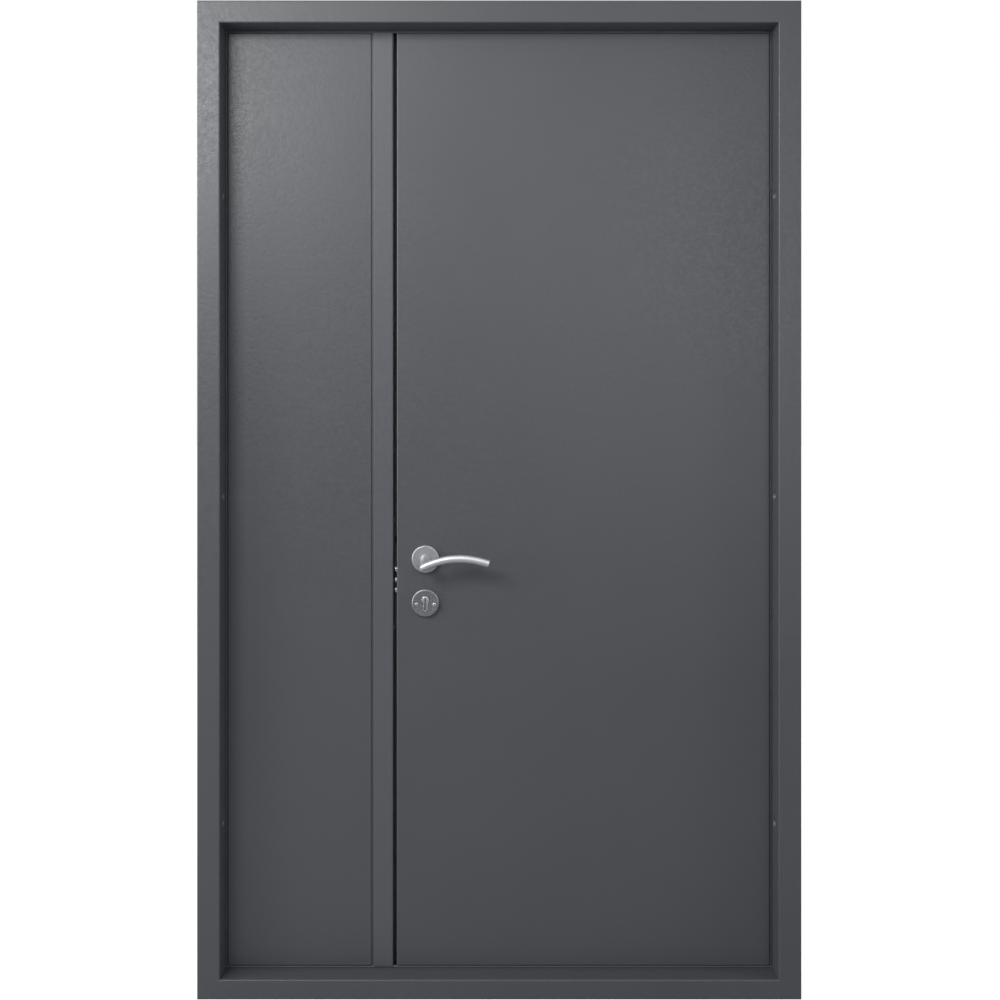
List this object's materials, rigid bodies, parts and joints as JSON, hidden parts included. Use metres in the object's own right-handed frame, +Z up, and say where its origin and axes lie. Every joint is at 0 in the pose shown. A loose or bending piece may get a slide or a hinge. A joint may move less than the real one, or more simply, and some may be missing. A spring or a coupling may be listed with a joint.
{
  "type": "leaf-and-a-half steel utility door",
  "caption": "Outward-opening steel utility door with a wide active leaf and a narrow passive leaf in a folded four-sided frame, with lever handle and key lock.",
  "frame": {"origin": "middle of the sill's flat underside, midway across the door and through the frame's depth", "axes": "+Z up, +Y from the room outwards, +X to the right seen from the room"},
  "size_m": [1.24, 0.1564, 2.05],
  "materials": {
    "graphite_powder_coat": "semi-matt graphite grey powder coat with a fine orange peel",
    "satin_nickel": "satin nickel, finely brushed",
    "zinc_plated_steel": "bright zinc plating",
    "grey_rubber": "matt dark grey rubber, extruded"
  },
  "bodies": {
    "frame": {"left_jamb": "graphite_powder_coat", "right_jamb": "graphite_powder_coat", "head": "graphite_powder_coat", "sill": "graphite_powder_coat", "left_frame_seal": "grey_rubber", "right_frame_seal": "grey_rubber", "top_frame_seal": "grey_rubber", "bottom_frame_seal": "grey_rubber", "left_lower_hinge_frame_half": "graphite_powder_coat", "left_upper_hinge_frame_half": "graphite_powder_coat", "right_lower_hinge_frame_half": "graphite_powder_coat", "right_upper_hinge_frame_half": "graphite_powder_coat"},
    "active_leaf": {"active_inner_tray": "graphite_powder_coat", "active_outer_skin": "graphite_powder_coat", "lock_case": "zinc_plated_steel", "lock_faceplate": "zinc_plated_steel", "inside_lever_rose": "satin_nickel", "outside_lever_rose": "satin_nickel", "inside_cylinder_rose": "satin_nickel", "outside_cylinder_rose": "satin_nickel", "lock_cylinder": "satin_nickel", "cylinder_plug": "satin_nickel", "right_lower_hinge_leaf_half": "graphite_powder_coat", "right_upper_hinge_leaf_half": "graphite_powder_coat"},
    "lever_set": {"inside_lever": "satin_nickel", "outside_lever": "satin_nickel", "spindle": "zinc_plated_steel", "lock_follower": "zinc_plated_steel"},
    "latch": {"latch_bolt": "zinc_plated_steel"},
    "deadbolts": {"deadbolt_lower": "satin_nickel", "deadbolt_middle": "satin_nickel", "deadbolt_upper": "satin_nickel", "bolt_carriage": "zinc_plated_steel"},
    "passive_leaf": {"passive_inner_tray": "graphite_powder_coat", "passive_meeting_stile": "graphite_powder_coat", "passive_outer_skin": "graphite_powder_coat", "strike_plate": "zinc_plated_steel", "meeting_seal": "grey_rubber", "left_lower_hinge_leaf_half": "graphite_powder_coat", "left_upper_hinge_leaf_half": "graphite_powder_coat"}
  },
  "joints": [
    {"name": "active_leaf_hinge", "type": "hinge", "parent": "frame", "child": "active_leaf", "pos_m": [0.602, 0.053, 1], "axis": [0, 0, -1], "range_deg": [0, 170]},
    {"name": "passive_leaf_hinge", "type": "hinge", "parent": "frame", "child": "passive_leaf", "pos_m": [-0.602, 0.053, 1], "axis": [0, 0, 1], "range_deg": [0, 170]},
    {"name": "lever_turn", "type": "hinge", "parent": "active_leaf", "child": "lever_set", "pos_m": [-0.1535, 0.03, 0.898], "axis": [0, 1, 0], "range_deg": [0, 45], "stiffness_Nm_per_rad": 1.5, "springref_deg": -34.38},
    {"name": "latch_slide", "type": "slide", "parent": "active_leaf", "child": "latch", "axis": [1, 0, 0], "range_m": [0, 0.0051]},
    {"name": "deadbolt_throw", "type": "slide", "parent": "active_leaf", "child": "deadbolts", "axis": [-1, 0, 0], "range_m": [-0.0051, 0.0145]}
  ],
  "couplings": [
    {"joint": "latch_slide", "follows": "lever_turn", "m_per_rad": 0.0064}
  ]
}
